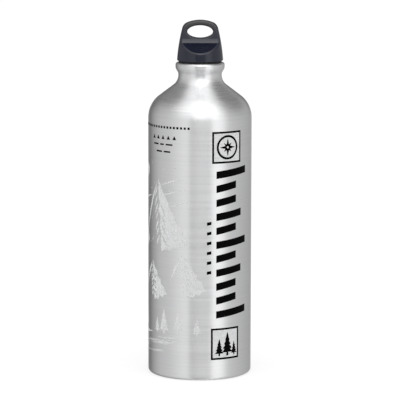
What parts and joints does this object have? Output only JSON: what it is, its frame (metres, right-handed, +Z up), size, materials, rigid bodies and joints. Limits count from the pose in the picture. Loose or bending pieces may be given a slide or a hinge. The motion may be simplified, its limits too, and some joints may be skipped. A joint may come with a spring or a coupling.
{
  "type": "camping fuel bottle",
  "caption": "Tall round aluminium fuel bottle with a sloping shoulder, narrow neck and rolled lip, closed by a black screw cap with a carrying loop.",
  "frame": {"origin": "centre of the ring that the bottle stands on, at the height of that ring", "axes": "+Z up along the bottle's axis, towards the cap; the flat faces of the cap's loop face -Y (front) and +Y (back), and the printed marks face -Y"},
  "size_m": [0.08, 0.08, 0.2747],
  "materials": {
    "brushed_aluminium": "fine grain brushed around the bottle, clear coated",
    "turned_aluminium": "turned",
    "cap_black": "satin moulded, blue-black",
    "plug_black": "moulded",
    "seal_rubber": "matt",
    "print_black": "screen printed ink",
    "print_white": "thin screen printed ink"
  },
  "bodies": {
    "bottle": {"bottle_shell": "brushed_aluminium", "neck_thread_ring": "turned_aluminium"},
    "seal": {"cap_seal": "seal_rubber"},
    "cap": {"cap_head": "cap_black", "cap_plug": "plug_black"}
  },
  "joints": [
    {"name": "cap_lift", "type": "slide", "parent": "bottle", "child": "seal", "axis": [0, 0, 1], "range_m": [0, 0.01521]},
    {"name": "cap_turn", "type": "hinge", "parent": "seal", "child": "cap", "pos_m": [0, 0, 0.2433], "axis": [0, 0, 1], "range_deg": [0, 1710]}
  ],
  "couplings": [
    {"joint": "cap_lift", "follows": "cap_turn", "m_per_rad": 0.0005093}
  ]
}
